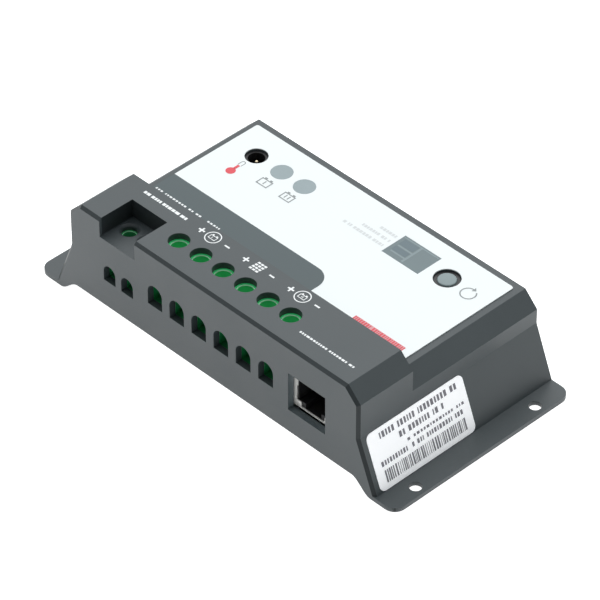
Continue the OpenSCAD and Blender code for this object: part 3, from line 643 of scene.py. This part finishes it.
def block_symbols():
    """White marks on the terminal section: headings, plus and minus, batteries and a solar panel."""
    marks = block_print("print_block_marks", "ink_white")
    marks.dashes(-47.8, -29.3, -18.5, 1.1, 7, 0.7, 1.7, 0.22)
    marks.dashes(30.5, 52.5, -30.0, 0.75, 8, 0.5, 1.2, 0.3)
    row = in_mm(POLES[0].y) + 8.1
    for pair in range(3):
        plus_x = in_mm(POLES[pair * 2].x) + 1.2
        minus_x = in_mm(POLES[pair * 2 + 1].x) + 2.6
        marks.plus(plus_x, row, 2.4, 0.6)
        marks.minus(minus_x, row, 2.0, 0.6)
        middle = (plus_x + minus_x) / 2 - 0.6
        if pair == 1:
            panel_mark(marks, middle, row)
        else:
            battery_ring(marks, middle, row, pair)
    marks.finish(slot="film_white")


def battery_ring(marks, x, y, pair):
    marks.arc(x, y, 2.5, 0.35, 0, 360)
    marks.frame(x - 1.4, y - 1.0, x + 1.4, y + 0.8, 0.25)
    for side in (-0.75, 0.75):
        marks.bar(x + side - 0.3, y + 0.8, x + side + 0.3, y + 1.25)
    for digit in range(1 + pair // 2):
        marks.bar(x - 0.35 + digit * 0.5, y - 0.5, x - 0.15 + digit * 0.5, y + 0.3)


def panel_mark(marks, x, y):
    """Sloping grid of cells."""
    width, height, lean = 3.9, 4.4, 0.5
    for i in range(3):
        for j in range(4):
            u0, u1 = i / 3 + 0.04, (i + 1) / 3 - 0.04
            v0, v1 = j / 4 + 0.04, (j + 1) / 4 - 0.04
            marks.shape([(x - width / 2 + u * width + lean * v, y - height / 2 + v * height)
                         for u, v in ((u0, v0), (u1, v0), (u1, v1), (u0, v1))])


def sticker_print():
    """Rows of dashes and a bar code on the data sticker, laid on its outer face."""
    faces = NODES["rating_label"].data.polygons
    outer = max((face for face in faces if face.normal.x > 0.3), key=lambda face: face.area)
    low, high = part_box("rating_label")
    outward = outer.normal.copy()
    right = Vector((0, 1, 0))
    up = outward.cross(right).normalized()
    if up.z < 0:
        up.negate()
    foot = Vector(outer.center)
    foot -= up * ((foot.z - low.z) / up.z)
    corner = Vector((foot.x, low.y, foot.z)) + outward * INK_LIFT
    width = in_mm(high.y - low.y)
    height = in_mm((high.z - low.z) / up.z)
    text = Print("print_sticker", corner, right, up, "ink_black")
    rows = ((0.87, 0.12, 0.92, 2.0), (0.7, 0.3, 0.78, 1.9), (0.545, 0.36, 0.96, 0.9))
    for level, start, end, size in rows:
        text.dashes(width * start, width * end, height * level, size, int(level * 100), 0.45, 1.1, 0.5)
    text.dashes(width * 0.07, width * 0.34, height * 0.42, 1.6, 77, 0.5, 1.0, 0.45)
    text.dashes(width * 0.39, width * 0.93, height * 0.42, 1.5, 78, 0.4, 0.9, 0.42)
    chance = random.Random(12)
    x = width * 0.08
    while x < width * 0.92:
        thick = chance.choice((0.22, 0.3, 0.45, 0.6))
        text.bar(x, height * 0.1, x + thick, height * 0.31)
        x += thick + chance.choice((0.25, 0.35, 0.5))
    text.finish(slot="film_white")


def turned(mesh, middle, profile, steps=96):
    """Adds a profile of radius and height pairs, turned about the vertical through middle."""
    rings = []
    for r, z in profile:
        if r == 0:
            rings.append([mesh.verts.new((middle.x, middle.y, z))])
        else:
            rings.append([mesh.verts.new((middle.x + r * math.cos(math.tau * s / steps),
                                          middle.y + r * math.sin(math.tau * s / steps), z))
                          for s in range(steps)])
    for lower, upper in zip(rings, rings[1:]):
        for s in range(steps):
            t = (s + 1) % steps
            corners = [lower[s % len(lower)], lower[t % len(lower)], upper[t % len(upper)], upper[s % len(upper)]]
            mesh.faces.new(list(dict.fromkeys(corners)))


def smooth_piece(name, mesh, material):
    """Makes a smooth-shaded object from a mesh, with creases where faces meet sharply."""
    bmesh.ops.recalc_face_normals(mesh, faces=mesh.faces)
    data = bpy.data.meshes.new(name)
    mesh.to_mesh(data)
    mesh.free()
    for polygon in data.polygons:
        polygon.use_smooth = True
    data.materials.append(MATERIALS[material])
    piece = bpy.data.objects.new(name, data)
    bpy.context.scene.collection.objects.link(piece)
    edge = piece.modifiers.new("edges", "EDGE_SPLIT")
    edge.split_angle = math.radians(40)
    return piece


def well_lips():
    """Rounded lip in the mouth of each screw well of the green blocks, coloured pale green as a painted highlight."""
    mesh = bmesh.new()
    for block, poles, outer, width in (("terminal_block", POLES, 3.02, 0.46), ("aux_block", SMALL_POLES, 2.42, 0.32)):
        half = width / 2 * MM
        radius = outer * MM - half
        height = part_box(block)[1].z - half
        angles = [math.tau * k / 20 for k in range(21)]
        profile = [(radius + half * math.cos(a), height + half * math.sin(a)) for a in angles]
        for middle in poles:
            turned(mesh, middle, profile, 64)
    bmesh.ops.remove_doubles(mesh, verts=mesh.verts, dist=0.001 * MM)
    lips = smooth_piece("well_lips", mesh, "terminal_lip_highlight")
    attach(lips, "housing")


def round_cap():
    """Push button cap turned from a profile, with a rounded rim and a flat top."""
    low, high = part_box("button_cap")
    middle = centre("button_cap")
    shoulder = (high.x - low.x) / 2
    radius = shoulder - 1.0 * MM
    rim = 0.45 * MM
    flange = low.z + 0.8 * MM
    profile = [(0, low.z), (shoulder, low.z), (shoulder, flange), (radius, flange), (radius, high.z - rim)]
    for k in range(1, 7):
        a = math.radians(90 * k / 6)
        profile.append((radius - rim + rim * math.cos(a), high.z - rim + rim * math.sin(a)))
    profile.append((0, high.z))
    mesh = bmesh.new()
    turned(mesh, middle, profile)
    cap = smooth_piece("cap_turned", mesh, "button")
    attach(cap, "push_button")
    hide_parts("button_cap")


# ---------------------------------------------------------------- studio

def studio_floor():
    """Plain pale floor, lit evenly from below as on a light table."""
    graph = Graph("studio_floor", (0.7, 0.7, 0.7), 0.9, specular=0.0)
    haze = graph.noise(3, 2)
    graph.colour(graph.blend(haze, (0.69, 0.69, 0.69), (0.71, 0.71, 0.71)))
    graph.set("Emission Color", (1.0, 1.0, 1.0, 1.0))
    graph.set("Emission Strength", 0.9)
    mesh = bmesh.new()
    bmesh.ops.create_grid(mesh, x_segments=4, y_segments=4, size=6)
    data = bpy.data.meshes.new("studio_floor")
    mesh.to_mesh(data)
    mesh.free()
    data.materials.append(graph.material)
    floor = bpy.data.objects.new("studio_floor", data)
    floor.location.z = cad_box[0][2] - 0.2 * MM
    bpy.context.scene.collection.objects.link(floor)


def area_light(name, direction, distance, size, power, aim=(0, 0, 0.02)):
    light = bpy.data.lights.new(name, "AREA")
    light.shape = "DISK"
    light.size = size
    light.energy = power
    lamp = bpy.data.objects.new(name, light)
    lamp.location = Vector(aim) + Vector(direction).normalized() * distance
    lamp.rotation_euler = (Vector(aim) - lamp.location).to_track_quat("-Z", "Y").to_euler()
    bpy.context.scene.collection.objects.link(lamp)


def studio_light():
    """White tent behind, above and to the left of the part, open and dark towards the front right."""
    world = bpy.data.worlds.new("studio")
    world.use_nodes = True
    tree = world.node_tree
    background = tree.nodes["Background"]
    place = tree.nodes.new("ShaderNodeTexCoord")
    towards = tree.nodes.new("ShaderNodeVectorMath")
    towards.operation = "DOT_PRODUCT"
    towards.inputs[1].default_value = Vector((-0.54, 0.56, 0.64)).normalized()
    tree.links.new(place.outputs["Generated"], towards.inputs[0])
    level = tree.nodes.new("ShaderNodeMapRange")
    level.interpolation_type = "SMOOTHSTEP"
    for key, value in (("From Min", 0.0), ("From Max", 0.85), ("To Min", 0.25), ("To Max", 1.9)):
        level.inputs[key].default_value = value
    tree.links.new(towards.outputs["Value"], level.inputs["Value"])
    background.inputs["Color"].default_value = (0.96, 0.985, 1.0, 1.0)
    tree.links.new(level.outputs["Result"], background.inputs["Strength"])
    bpy.context.scene.world = world
    area_light("key", (-0.2, 0.45, 0.87), 1.6, 0.34, 1.6)


def camera_at_photo():
    """Long lens at the photograph's angle."""
    camera = bpy.data.cameras.new("photo_camera")
    camera.sensor_width = 36
    camera.lens = 255.97
    camera.clip_start = 0.05
    camera.clip_end = 20
    rig = bpy.data.objects.new("photo_camera", camera)
    rig.location = (0.6959, -0.6779, 0.8337)
    aim = Vector((0.00572, -0.00588, 0.0196))
    rig.rotation_euler = (aim - rig.location).to_track_quat("-Z", "Y").to_euler()
    bpy.context.scene.collection.objects.link(rig)
    bpy.context.scene.camera = rig
    bpy.context.scene.view_settings.view_transform = "Standard"


def main():
    dress_nodes()
    soften_edges("top_shell", 0.22 * MM)
    for name in ("terminal_block", "aux_block"):
        soften_edges(name, 0.25 * MM, 3)
    dark_band()
    battery_marks()
    thermometer_mark()
    cycle_mark()
    faint_lines()
    red_line()
    display_detail()
    block_symbols()
    sticker_print()
    well_lips()
    round_cap()
    studio_floor()
    studio_light()
    camera_at_photo()


main()
bpy.context.view_layer.update()
